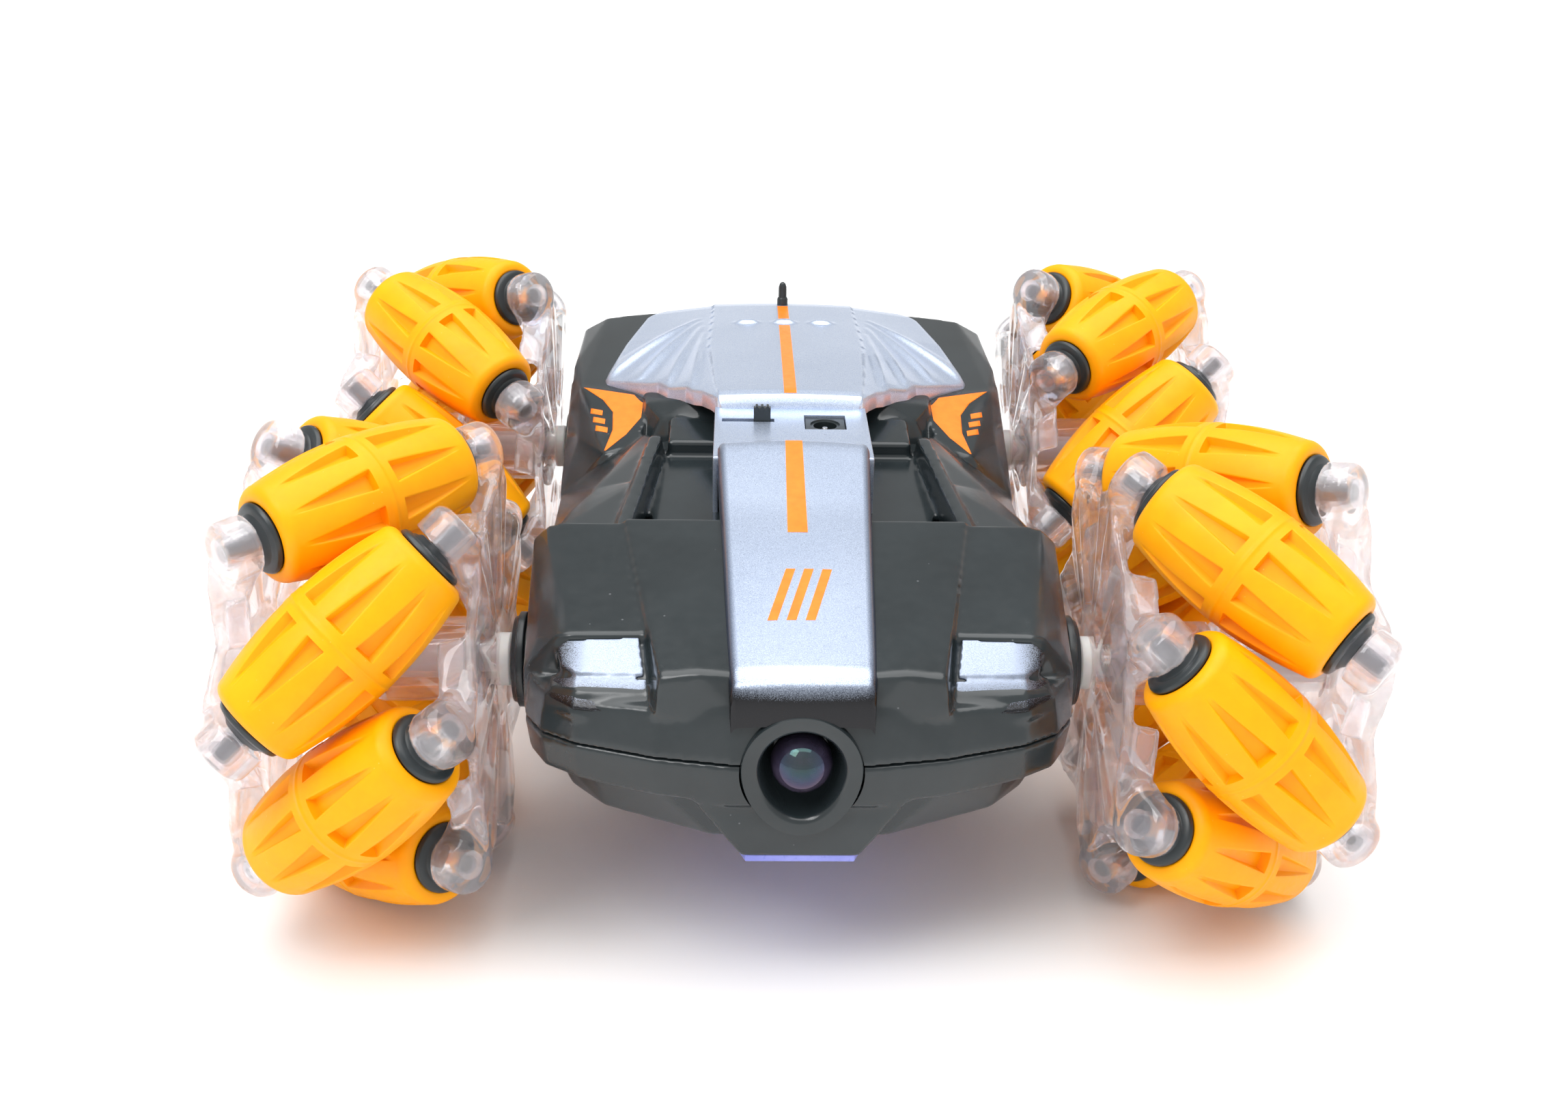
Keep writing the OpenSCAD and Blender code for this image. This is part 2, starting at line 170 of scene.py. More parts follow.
def orange_rubber():
    s = Shader("orange_rubber", Specular_IOR_Level=0.22, Subsurface_Weight=0.08,
               Subsurface_Scale=0.003)
    s.bsdf.inputs["Subsurface Radius"].default_value = (1.0, 0.35, 0.08)
    patches = s.noise(0.12, 4, 0.6)
    body = s.ramp(patches, [(0.3, (1.0, 0.36, 0.0)), (0.55, (1.0, 0.39, 0.0)),
                            (0.8, (1.0, 0.42, 0.0))])
    dust = s.remap(s.cells(0.35), 0.03, 0.055, 0.55, 0.0)
    s.colour(s.mix(dust, body, (1.0, 0.60, 0.14)))
    s.rough(s.remap(s.noise(0.8, 5, 0.65), 0.3, 0.7, 0.36, 0.52))
    s.bump(s.noise(1.6, 6, 0.7), 0.03, 0.6)
    return s.mat


def moulded_black(name, rough_lo, rough_hi, grain_mm):
    """Black plastic with faint blotches and a few specks of dust."""
    s = Shader(name, Specular_IOR_Level=0.5)
    tone = s.ramp(s.noise(0.05, 4, 0.6), [(0.25, (0.013, 0.018, 0.020)),
                                          (0.75, (0.022, 0.029, 0.032))])
    fleck = s.remap(s.cells(0.16), 0.022, 0.045, 0.75, 0.0)
    s.colour(s.mix(fleck, tone, (0.16, 0.17, 0.18)))
    s.rough(s.remap(s.noise(0.35, 6, 0.7), 0.3, 0.72, rough_lo, rough_hi))
    s.bump(s.noise(1.3, 5, 0.6), grain_mm, 0.35)
    return s.mat


def clear_plastic():
    s = Shader("clear_plastic", Transmission_Weight=0.86, IOR=1.42, Alpha=0.70,
               Coat_Weight=0.9, Coat_Roughness=0.02)
    tint = s.ramp(s.noise(0.06, 3, 0.5), [(0.3, (0.95, 0.91, 0.985)), (0.7, (0.99, 0.97, 1.0))])
    s.colour(tint)
    s.rough(s.remap(s.noise(0.5, 4, 0.6), 0.3, 0.75, 0.0, 0.02))
    s.bump(s.noise(0.12, 2, 0.5), 0.03, 0.4)
    return s.mat


def lilac_paint(name, blacken=None, rim=None, rough=(0.27, 0.40), lift=1.0):
    """Metallic paint with flake; blacken gives the share of bare black plastic, and rim the
    share of painted shade, a dark blue on rolled edges."""
    s = Shader(name, Metallic=0.82, Coat_Weight=0.35, Coat_Roughness=0.12)
    flake = s.noise(5.5, 2, 0.5)

    def shade(*c):
        return tuple(min(1.0, v * lift) for v in c)

    paint = s.ramp(flake, [(0.36, shade(0.27, 0.33, 0.45)), (0.5, shade(0.48, 0.56, 0.72)),
                           (0.64, shade(0.78, 0.87, 1.0))])
    broad = s.ramp(s.noise(0.03, 2, 0.5), [(0.3, shade(0.45, 0.53, 0.69)),
                                           (0.7, shade(0.54, 0.62, 0.78))])
    paint = s.mix(0.55, paint, broad)
    if rim:
        # painted shade: dark blue mixed in where rim marks the rolled edges
        paint = s.mix(rim(s), paint, (0.035, 0.055, 0.12))
    if blacken:
        paint = s.mix(blacken(s, flake), paint, (0.010, 0.010, 0.012))
    s.colour(paint)
    s.rough(s.remap(s.noise(3.0, 3, 0.6), 0.3, 0.7, *rough))
    s.bump(flake, 0.012, 0.35)
    return s.mat


def orange_print():
    s = Shader("orange_print", Specular_IOR_Level=0.5)
    s.colour(s.ramp(s.noise(0.4, 3, 0.6), [(0.3, (1.0, 0.19, 0.004)),
                                           (0.7, (1.0, 0.235, 0.010))]))
    s.rough(s.remap(s.noise(1.0, 4, 0.6), 0.3, 0.7, 0.28, 0.42))
    s.bump(s.noise(2.5, 3, 0.5), 0.01, 0.3)
    return s.mat


def plain(name, lo, hi, rough=(0.35, 0.5), grain=1.5, depth=0.02, **values):
    s = Shader(name, **values)
    s.colour(s.ramp(s.noise(0.2, 4, 0.6), [(0.3, lo), (0.7, hi)]))
    s.rough(s.remap(s.noise(0.8, 4, 0.6), 0.3, 0.7, *rough))
    s.bump(s.noise(grain, 4, 0.6), depth, 0.4)
    return s.mat


def lens_glass():
    """A ball lens whose coating shows coloured reflections; its near-black colour is painted shade for
    the dark lamp interior behind it.
    """
    s = Shader("clear_lens", IOR=1.5, Coat_Weight=0.5, Coat_Roughness=0.01,
               Transmission_Weight=0.2, Thin_Film_Thickness=380.0, Thin_Film_IOR=1.36)
    # painted shade: near-black base colour for the shaded interior seen through the lens
    s.colour(s.ramp(s.noise(0.2, 2, 0.5), [(0.3, (0.02, 0.015, 0.03)),
                                           (0.7, (0.05, 0.04, 0.07))]))
    s.rough(s.remap(s.noise(1.0, 3, 0.5), 0.3, 0.7, 0.02, 0.06))
    return s.mat


def lip_fade(s, flake):
    """Paint thins out to bare black below the front lip of the spine."""
    edge = s.math("ADD", s.axis("Z"), s.math("MULTIPLY", s.math("SUBTRACT", flake, 0.5), 0.0035))
    return s.remap(edge, 0.0662, 0.0704, 1.0, 0.0)


def spine_edge_shade(s):
    """Painted shade: the paint is darkened to dark blue along both rolled-down long edges of the spine.
    """
    half = s.math("ADD", s.math("MULTIPLY", s.axis("Y"), 0.040), 0.01802)
    side = s.math("SUBTRACT", s.math("ABSOLUTE", s.axis("X"), 0.0), half)
    return s.remap(side, -0.0019, -0.0002, 0.0, 0.9)


def slip_fade(s, flake):
    """Overspray on the lamp facets fades out towards their outer ends and lower edges."""
    side = s.math("ABSOLUTE", s.axis("X"), 0.0)
    outer = s.remap(side, 0.0405, 0.0480, 0.0, 1.0)
    low = s.remap(s.axis("Z"), 0.0595, 0.0645, 1.0, 0.0)
    share = s.math("MAXIMUM", outer, low)
    grain = s.math("MULTIPLY", s.math("SUBTRACT", flake, 0.5), 1.6)
    return s.remap(s.math("ADD", share, grain), 0.15, 0.85)


M = {
    "rubber": orange_rubber(),
    "core": moulded_black("satin_black", 0.28, 0.42, 0.02),
    "gloss": moulded_black("gloss_black", 0.14, 0.24, 0.006),
    "satin": moulded_black("chassis_black", 0.26, 0.36, 0.02),
    "clear": clear_plastic(),
    "paint": lilac_paint("metallic_lilac", lift=1.22),
    "spine": lilac_paint("metallic_lilac_lip", lip_fade, spine_edge_shade),
    "slip": lilac_paint("metallic_lilac_slip", slip_fade, None, (0.40, 0.52), 0.62),
    "print": orange_print(),
    "nylon": plain("nylon_white", (0.72, 0.72, 0.70), (0.84, 0.84, 0.82), (0.3, 0.45),
                   Subsurface_Weight=0.2, Subsurface_Scale=0.003),
    "steel": plain("bright_metal", (0.42, 0.42, 0.44), (0.60, 0.60, 0.62), (0.25, 0.38),
                   Metallic=1.0),
    "board": plain("circuit_board", (0.012, 0.10, 0.035), (0.02, 0.15, 0.05), (0.3, 0.45)),
    "wrap": plain("battery_wrap", (0.02, 0.07, 0.30), (0.03, 0.10, 0.40), (0.2, 0.3)),
    "lens": lens_glass(),
    "lilac": plain("lilac_edge", (0.18, 0.20, 0.58), (0.26, 0.28, 0.70), (0.25, 0.35)),
}


# ---------------- mesh tools

def finish_mesh(bm, name, material, smooth_deg=None):
    mesh = bpy.data.meshes.new(name)
    bm.normal_update()
    bm.to_mesh(mesh)
    bm.free()
    mesh.materials.append(material)
    mesh.polygons.foreach_set("use_smooth", [True] * len(mesh.polygons))
    if smooth_deg is not None:
        mesh.set_sharp_from_angle(angle=math.radians(smooth_deg))
    return mesh


def piece(name, mesh, body, replaces=(), matrix=None):
    if matrix is not None:
        mesh = mesh.copy()
        mesh.transform(matrix)
    obj = bpy.data.objects.new(name, mesh)
    bpy.context.scene.collection.objects.link(obj)
    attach(obj, body)
    if replaces:
        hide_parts(*replaces)
    return obj


def add_hull(bm, points):
    """Adds the convex hull of points given in millimetres as one closed island."""
    verts = [bm.verts.new([c * MM for c in p]) for p in points]
    made = bmesh.ops.convex_hull(bm, input=verts)
    drop = {g for k in ("geom_interior", "geom_unused") for g in made[k]
            if isinstance(g, bmesh.types.BMVert)}
    if drop:
        bmesh.ops.delete(bm, geom=list(drop), context="VERTS")


def both(points):
    """A list of two hulls: the points, and their mirror images."""
    return [list(points), [(-x, y, z) for x, y, z in points]]


def across(points):
    """One hull over the points and their mirror images."""
    return [list(points) + [(-x, y, z) for x, y, z in points]]


def box(xs, ys, zs):
    """The eight corners of a box."""
    return [(x, y, z) for x in xs for y in ys for z in zs]


def hull_object(islands, name):
    """A scratch object with one convex island for each list of points."""
    bm = bmesh.new()
    for points in islands:
        add_hull(bm, points)
    bmesh.ops.recalc_face_normals(bm, faces=bm.faces)
    mesh = bpy.data.meshes.new(name)
    bm.to_mesh(mesh)
    bm.free()
    obj = bpy.data.objects.new(name, mesh)
    bpy.context.scene.collection.objects.link(obj)
    return obj


def ring(centre, axis, radius, count=28, start=(0, 0, 1)):
    a = Vector(axis).normalized()
    u = (Vector(start) - a * a.dot(Vector(start))).normalized()
    v = a.cross(u)
    c = Vector(centre)
    return [tuple(c + radius * (math.cos(t) * u + math.sin(t) * v))
            for t in (2 * math.pi * i / count for i in range(count))]


def rod(a, b, radius, count=28, radius_b=None):
    axis = Vector(b) - Vector(a)
    start = (0, 0, 1) if abs(axis.normalized().z) < 0.9 else (1, 0, 0)
    return (ring(a, axis, radius, count, start)
            + ring(b, axis, radius if radius_b is None else radius_b, count, start))


def mould(name, islands, voxel, smooth=3, cuts=()):
    """Melts overlapping solids into one skin with small fillets, then cuts crisp holes."""
    obj = hull_object(islands, name)
    remesh = obj.modifiers.new("melt", "REMESH")
    remesh.mode = "VOXEL"
    remesh.voxel_size = voxel * MM
    soft = obj.modifiers.new("soft", "SMOOTH")
    soft.factor, soft.iterations = 0.5, smooth
    cutters = []
    for i, group in enumerate(cuts):
        cutter = hull_object(group, f"cut_{i}")
        cutters.append(cutter)
        hole = obj.modifiers.new(f"cut_{i}", "BOOLEAN")
        hole.operation, hole.solver, hole.object = "DIFFERENCE", "MANIFOLD", cutter
    graph = bpy.context.evaluated_depsgraph_get()
    mesh = bpy.data.meshes.new_from_object(obj.evaluated_get(graph))
    for o in [obj, *cutters]:
        bpy.data.objects.remove(o)
    mesh.name = name
    mesh.materials.clear()
    mesh.polygons.foreach_set("use_smooth", [True] * len(mesh.polygons))
    mesh.set_sharp_from_angle(angle=math.radians(38))
    return mesh


def moulded_piece(name, islands, body, slot, material, replaces=(), **how):
    mesh = mould(name, islands, **how)
    mesh.materials.append(material)
    return piece(name, mesh, body, replaces)


def revolve(name, profile, material, count=64, smooth_deg=35, bevel=0.25):
    """Turns a closed (radius, height) profile in millimetres about Z, with rounded corners."""
    bm = bmesh.new()
    rows = []
    for r, h in profile:
        if r < 1e-6:
            rows.append([bm.verts.new((0, 0, h * MM))] * count)
        else:
            rows.append([bm.verts.new((r * MM * math.cos(2 * math.pi * i / count),
                                       r * MM * math.sin(2 * math.pi * i / count), h * MM))
                         for i in range(count)])
    closed = profile[0][0] > 1e-6
    pairs = list(zip(rows, rows[1:] + ([rows[0]] if closed else [])))
    for a, b in pairs:
        for i in range(count):
            j = (i + 1) % count
            loop = []
            for v in (a[i], a[j], b[j], b[i]):
                if v not in loop:
                    loop.append(v)
            if len(loop) > 2:
                bm.faces.new(loop)
    bmesh.ops.recalc_face_normals(bm, faces=bm.faces)
    if bevel:
        sharp = [e for e in bm.edges if e.is_manifold and e.calc_face_angle() > math.radians(30)]
        bmesh.ops.bevel(bm, geom=sharp, offset=bevel * MM, segments=2, profile=0.5,
                        affect="EDGES", clamp_overlap=True)
    return finish_mesh(bm, name, material, smooth_deg)


# ---------------- rollers

GROOVES = 10              # on each side of the sleeve's middle band
GROOVE_START, GROOVE_END = 2.3, 18.8
GROOVE_DEPTH = 2.05
END_FILLET = 2.4          # rounding at the sleeve's ends
PIN_END = 30.75           # tip of a core's pin, from the roller's middle


def barrel(s):
    return WHEEL_R - math.hypot(PATH_R, s * math.sin(math.radians(45)))


def sleeve_mesh():
    """A barrel with ten grooves on each side of a smooth middle band."""
    shoulder = HALF - END_FILLET
    end_r = barrel(shoulder)
    parting = [(0.0, 0.09), (0.22, 0.09)]
    stations = (0.34, 1.0, 1.9, 2.12, 2.2, 2.32, 2.5, 3.2, 4.5, 6.5, 8.5, 10.5, 12.5, 14.5, 16.0,
                17.2, 18.0, 18.6, 19.3, 20.1)
    rows = [(s, barrel(s) + lift, s) for s, lift in parting + [(s, 0.0) for s in stations]]
    for i in range(1, 7):
        a = math.radians(90 * i / 6)
        rows.append((None, end_r - END_FILLET * (1 - math.cos(a)),
                     shoulder + END_FILLET * math.sin(a)))
    rows += [(None, 7.35, HALF), (None, 6.9, HALF - 0.35), (None, 6.75, HALF - 2.0)]
    half_turn = 360 / GROOVES / 2

    def columns(s):
        """(angle in degrees from the groove's middle, share of the groove's depth)."""
        length = GROOVE_END - GROOVE_START
        t = 0.0 if s is None else max(0.0, min(1.0, (s - GROOVE_START) / length))
        half = 9.9 * (1 - t) + 2.6 * t
        wall = 0.75
        right = [(half - wall - 0.5, 1.0), (half - wall, 0.97), (half, 0.05), (half + 0.5, 0.0),
                 (half + 2.2, 0.0), (half_turn * 0.5 + half * 0.5 + 1.0, 0.0)]
        left = [(-a, d) for a, d in reversed(right)]
        return [(-half_turn, 0.0)] + left + [(-half * 0.35, 1.0), (half * 0.35, 1.0)] + right

    floor_r = barrel(18.7)
    count = len(columns(None))

    def depth(s):
        if s is None or s < 2.25 or s > 18.7:
            return 0.0
        full = min(GROOVE_DEPTH, barrel(s) - floor_r)
        return full * min(1.0, (s - 2.2) / 0.16)

    bm = bmesh.new()
    grid = []
    order = ([(s, r, -h) for s, r, h in reversed(rows)] + [(s, r, h) for s, r, h in rows[1:]])
    for s, r, h in order:
        line = []
        for g in range(GROOVES):
            for angle, share in columns(s):
                a = math.radians(angle + 2 * half_turn * g)
                rr = (r - share * depth(s)) * MM
                line.append(bm.verts.new((rr * math.cos(a), rr * math.sin(a), h * MM)))
        grid.append(line)
    total = count * GROOVES
    for a, b in zip(grid, grid[1:] + [grid[0]]):
        for i in range(total):
            j = (i + 1) % total
            bm.faces.new((a[i], a[j], b[j], b[i]))
    bmesh.ops.recalc_face_normals(bm, faces=bm.faces)
    return finish_mesh(bm, "roller_sleeve", M["rubber"], 62)


def core_mesh():
    """The black core: a plug inside the sleeve, a stepped flange and a pin at each end."""
    top = [(6.6, HALF - 1.6), (6.6, HALF + 0.06), (7.2, HALF + 0.12), (7.3, HALF + 0.5),
           (6.95, HALF + 1.15), (6.2, HALF + 1.5), (5.4, HALF + 1.55), (5.1, HALF + 1.9),
           (4.55, HALF + 2.1), (3.9, HALF + 2.72), (1.95, HALF + 2.75), (1.95, 30.2),
           (1.6, 30.7), (0.0, PIN_END)]
    profile = [(0.0, -PIN_END)] + [(r, -h) for r, h in reversed(top[:-1])] + top
    return revolve("roller_core", profile, M["core"], 48, 40, bevel=0.12)


def roller_matrix(joint):
    origin = Vector(joint["pos_m"])
    z = Vector(joint["axis"]).normalized()
    x = (origin - Vector(JOINTS[joint["parent"]]["pos_m"])).normalized()
    y = z.cross(x).normalized()
    x = y.cross(z)
    return Matrix.Translation(origin) @ Matrix((x, y, z)).transposed().to_4x4()


def build_rollers():
    sleeve, core = sleeve_mesh(), core_mesh()
    for corner in CORNERS:
        for k in range(1, ROLLERS + 1):
            body = f"{corner}_roller_{k}"
            place = roller_matrix(JOINTS[body])
            turn = Matrix.Rotation(math.radians(11 * k + 40 * CORNERS.index(corner)), 4, "Z")
            piece(f"{body}_sleeve", sleeve, body, (body,), place @ turn)
            piece(f"{body}_core", core, body, (), place)


# ---------------- hub plates

def plate_islands():
    """An outer hub plate in its own frame: +X outwards, roller 1 at +Z, its end towards +Y."""
    d = Vector((1, 1, 0)).normalized()
    centre = Vector((0, 0, PATH_R))
    lean = math.atan(27.5 * math.sin(math.radians(45)) / PATH_R)

    def at(x, r, a):
        return (x, r * math.sin(a), r * math.cos(a))

    islands = []
    for k in range(ROLLERS):
        turn = Matrix.Rotation(-k * STEP, 3, "X")

        def put(points):
            islands.append([tuple(turn @ Vector(p)) for p in points])

        def cup(s, r, n=26):
            return ring(centre + d * s, d, r, n)

        # The cup that holds a roller's pin, with a domed end
        put(cup(25.5, 6.2) + cup(31.0, 6.2) + cup(31.8, 5.5) + cup(32.4, 4.2))
        # The blade from the cup down to the web
        put(cup(26.4, 6.0) + cup(30.2, 5.6)
            + [at(x, r, lean + w) for x in (22.9, 25.7) for r, w in
               ((24, 0.26), (24, -0.26), (33, 0.22), (33, -0.22))])
        # The web falls from each finger to the valley beside it
        for s in (1, -1):
            put([at(x, r, lean + s * w) for x in (23.9, 25.9) for r, w in
                 ((7, 0), (41, 0.05), (38.5, 0.18))]
                + [at(x, r, lean + s * STEP / 2) for x in (22.7, 24.7) for r in (7, 34.5)])
        # The rim's flange, a broad leaf between one cup and the next
        put([at(x, r, lean + w) for x, r, w in
             ((18.6, 36.6, 0.16), (18.6, 38.4, 0.16), (24.2, 36.8, 0.10), (24.2, 39.4, 0.10),
              (17.4, 33.0, 0.44), (17.4, 34.8, 0.44), (23.6, 33.0, 0.48), (23.6, 34.8, 0.48))])
    islands.append(rod((0.3, 0, 0), (25.2, 0, 0), 9.0, 40))
    islands.append(rod((22.5, 0, 0), (25.9, 0, 0), 12.5, 40, 11.0))
    pins = [rod(tuple(Matrix.Rotation(-k * STEP, 3, "X") @ (centre + d * 24.0)),
                tuple(Matrix.Rotation(-k * STEP, 3, "X") @ (centre + d * 31.15)), 2.95, 24)
            for k in range(ROLLERS)]
    bore = [rod((-1, 0, 0), (30, 0, 0), 4.1, 32)]
    return islands, [pins, bore]


def plate_mesh(name, mirrored):
    islands, cuts = plate_islands()
    if mirrored:
        islands = [[(x, -y, z) for x, y, z in p] for p in islands]
        cuts = [[[(x, -y, z) for x, y, z in p] for p in group] for group in cuts]
    mesh = mould(name, islands, voxel=0.6, smooth=10, cuts=cuts)
    mesh.materials.append(M["clear"])
    return mesh


def build_plates():
    meshes = {1: plate_mesh("hub_plate_a", False), -1: plate_mesh("hub_plate_b", True)}
    for corner in CORNERS:
        wheel = JOINTS[f"{corner}_wheel"]
        hub = Vector(wheel["pos_m"])
        first = JOINTS[f"{corner}_roller_1"]
        radial = (Vector(first["pos_m"]) - hub).normalized()
        axis = Vector(first["axis"])
        out = Vector((1 if hub.x > 0 else -1, 0, 0))
        axis = axis if axis.dot(out) > 0 else -axis
        side = (axis - out * axis.dot(out)).normalized()
        hand = 1 if out.cross(side).dot(radial) > 0 else -1
        for part, sign in (("outer_plate", 1), ("inner_plate", -1)):
            x, y, z = out * sign, side * sign * hand, radial
            place = Matrix.Translation(hub) @ Matrix((x, y, z)).transposed().to_4x4()
            node = f"{corner}_{part}"
            piece(f"{node}_clear", meshes[hand], f"{corner}_wheel", (node,),
                  place)


def build_axles():
    """The white axle sleeve with its nut, and the stepped black collar that it turns in."""
    sleeve = revolve("axle_sleeve", [
        (0.0, 34.0), (3.7, 34.0), (3.95, 34.3), (3.95, 59.4), (5.2, 59.5), (5.6, 59.9),
        (5.6, 61.9), (5.2, 62.2), (3.95, 62.25), (3.95, 112.6), (5.3, 112.75), (5.3, 113.5),
        (4.6, 113.85), (2.2, 113.85), (2.0, 113.3), (0.0, 113.3)], M["nylon"], 48, 35, 0.1)
    collar = revolve("axle_collar", [
        (4.05, 48.2), (7.8, 48.2), (7.8, 56.3), (9.9, 56.3), (10.0, 56.6), (10.0, 57.8),
        (9.2, 58.1), (8.9, 58.9), (7.0, 59.0), (6.7, 58.5), (4.05, 58.5)], M["satin"], 56, 35, 0.1)
    for corner in CORNERS:
        hub = Vector(JOINTS[f"{corner}_wheel"]["pos_m"])
        out = Vector((1 if hub.x > 0 else -1, 0, 0))
        side = Vector((0, 1, 0))
        base = Matrix.Translation((0, hub.y, hub.z))
        place = base @ Matrix((side, out.cross(side), out)).transposed().to_4x4()
        piece(f"{corner}_axle_sleeve", sleeve, f"{corner}_wheel",
              (f"{corner}_axle",), place)
        replaced = ("axle_bushes",) if corner == CORNERS[0] else ()
        piece(f"{corner}_axle_collar", collar, "chassis", replaced, place)


# ---------------- body

def nose_bore():
    """Two cutting groups that make one bore, round above and lower below, for the lamp."""
    return [[rod((0, -125, z), (0, -98, z), r, 56)] for z, r in ((50.2, 11.9), (48.2, 10.4))]


def axle_holes():
    """One cutting group with a hole in the side walls for each axle collar."""
    return [rod((s * 40, y, WHEEL_R), (s * 70, y, WHEEL_R), 8.1, 40) for s in (-1, 1)
            for y in (-AXLE_Y, AXLE_Y)]


def upper_islands():
    nose_top = [(0, -107.4, 62.5), (14, -106.9, 62), (28, -104.2, 61), (43, -99.3, 59.5),
                (49.5, -95, 59.5), (53, -89, 60)]
    nose_low = [(0, -110.2, 52.1), (14, -109.5, 52.1), (28, -106.8, 52.1), (43.5, -101.4, 52.1),
                (50.5, -96.8, 52.1), (54.2, -90, 52.1)]
    islands = across(nose_top + nose_low + [(57, -60, 52.1), (57, -50, 52.1),
                                            (54, -60, 62), (40, -48, 64)])
    # Fender plates with their outer shoulders
    islands += both([(20, -46.5, 75.2), (49.5, -46.5, 75.2), (53, -46.3, 74.3), (56.2, -46, 71),
                     (57.0, -48, 62), (57.0, -52, 52.1), (57.0, -46, 52.1), (20, -46.5, 52.1),
                     (27, -88.6, 69.2), (45.0, -88.6, 69.0), (47.8, -87.8, 68.3),
                     (51.8, -84, 66), (54.6, -86, 60), (54.4, -88.5, 52.1), (27, -87, 58)])
    # Lamp facets and the bulges under them
    islands += both([(26, -88, 67.6), (45.2, -88, 67.2), (47.8, -88.3, 66.0), (26, -95.9, 63.9),
                     (42.8, -95.2, 63.5), (46.4, -93.6, 62.9), (26, -92, 58), (46, -90, 58)])
    islands += both([(26, -94, 63.6), (43.5, -93.5, 63.1), (48.4, -91.0, 62.0),
                     (26, -99.2, 62.6), (43.0, -98.0, 61.9), (48.6, -94.6, 60.8),
                     (26, -102.6, 59.0), (26, -102.8, 57.6), (43.8, -100.4, 57.2),
                     (44.2, -100.0, 58.3), (49.8, -95.6, 57.2), (26, -90, 56), (51, -90, 56)])
    # Raised panels beside the spine, with arched front faces
    islands += both([(12, -46.5, 76.2), (36.6, -46.5, 76.2), (12, -104.7, 68.0),
                     (19.5, -105.0, 69.0), (27.2, -104.3, 67.6), (12, -106.6, 60.6),
                     (27.8, -105.4, 60.4), (12, -103.6, 68.6), (19.5, -103.4, 69.5),
                     (27.0, -103.0, 68.3), (12, -46.5, 60), (37.8, -46.5, 60),
                     (28.8, -102, 58.5), (12, -104, 58)])
    # Waist: floor, flared skirts and a bar on each side
    islands += across([(30, -47, 67.2), (30, 10, 69.2), (30, -47, 52.1), (36, 22, 68.4),
                       (30, 22, 52.1), (36, 22, 52.1)])
    islands += both([(38.4, -47, 72.6), (52.4, -46, 72.2), (49.6, -31, 71.4), (45.4, -16, 70.6),
                     (35, -14, 72), (57.0, -47, 52.1), (57.3, -14, 52.1), (38, -47, 52.1),
                     (35, -14, 52.1), (56.2, -46, 62)])
    islands += both([(34, -17, 72), (45.8, -17, 70.6), (41.2, -2, 70.4), (38.2, 13, 70),
                     (36.2, 24, 69.6), (32, 18, 71), (57.3, -17, 52.1), (57.6, 26, 52.1),
                     (32, -17, 52.1), (32, 26, 52.1), (47.0, 24, 62)])
    islands += both([(35.8, -47, 73.8), (39.0, -47, 73.8), (31.0, 9, 74.4), (34.0, 9, 74.4),
                     (33.6, 13, 73.4), (31.2, 13, 73.4), (35.4, -47, 66), (40.4, -47, 66),
                     (30.4, 13, 66), (35.6, 13, 66)])
    # Step behind the waist floor and the rise to the rear deck
    islands += across([(29.5, 9, 73.0), (29.5, 24, 74.2), (29.5, 9, 60), (29.5, 30, 60)])
    islands += across([(22, 22, 74), (22, 27, 78.0), (32, 26, 72.8), (36, 34, 74.2), (20, 40, 79),
                       (37, 42, 74.2), (22, 22, 60), (38, 24, 60), (38, 42, 60)])
    # Rear fenders with their sloping fronts
    islands += both([(54.0, 51.5, 72.4), (39.3, 44.5, 73.0), (36.3, 37.5, 72.2), (36.3, 27, 70.4),
                     (38.4, 19, 68.6), (45.6, 17.5, 66.2), (53.2, 30, 65.6), (56.6, 48, 68),
                     (57.2, 60, 70.6), (57.6, 22, 52.1), (57.9, 62, 52.1), (36, 22, 52.1),
                     (36, 60, 52.1), (38, 60, 72.6)])
    islands += across([(53.8, 51.5, 72.3), (56.8, 60, 71.4), (57.2, 70, 72.2), (57.0, 103, 72.4),
                       (50.4, 106.4, 75.2), (38.5, 109.6, 75.6), (18, 110.8, 76.6),
                       (39.3, 46, 72.9), (57.9, 62, 60), (57.8, 62, 52.1), (57.9, 92, 60),
                       (57.6, 92, 52.1), (55.6, 106, 60), (54, 105.6, 52.1), (38, 111, 60),
                       (38, 110.6, 52.1), (20, 44, 72.9)])
    return islands


def build_upper():
    """The upper shell, open under the recess floor for the switch and the socket."""
    recess = [box((-13.5, 13.5), (-9, 9), (64, 90))]
    moulded_piece("upper_shell_skin", upper_islands(), "chassis", "gloss_black", M["gloss"],
                  ("upper_shell",), voxel=0.55, smooth=7,
                  cuts=[recess, *nose_bore(), axle_holes()])


